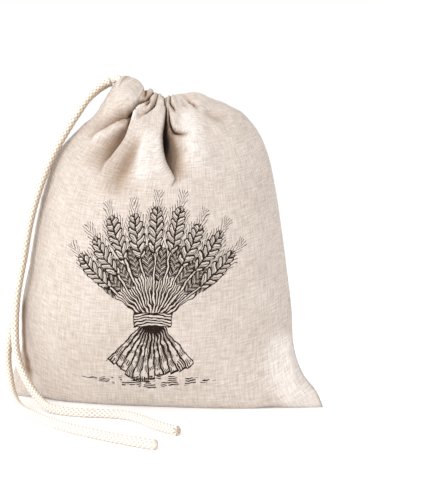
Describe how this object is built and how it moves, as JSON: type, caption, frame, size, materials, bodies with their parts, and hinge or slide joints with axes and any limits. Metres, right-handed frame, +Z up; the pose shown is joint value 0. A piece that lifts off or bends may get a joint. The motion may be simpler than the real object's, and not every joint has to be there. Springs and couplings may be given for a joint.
{
  "type": "drawstring linen bread bag",
  "caption": "Full, standing drawstring bag of natural linen, folded across the bottom, side-seamed, its neck gathered by a braided cord whose two ends hang down one side to the table.",
  "frame": {"origin": "middle of the footprint of the cloth bag, on the surface it stands on", "axes": "+Z up, -Y out of the front, +X to the right of someone who faces the front, along the bottom fold"},
  "size_m": [0.2636, 0.2505, 0.2704],
  "materials": {
    "natural_linen": "matte",
    "braided_cotton": "matte"
  },
  "bodies": {
    "root": {"bag_cloth": "natural_linen", "drawcord_loop": "braided_cotton", "drawcord_tail_front": "braided_cotton", "drawcord_tail_back": "braided_cotton"}
  },
  "joints": []
}
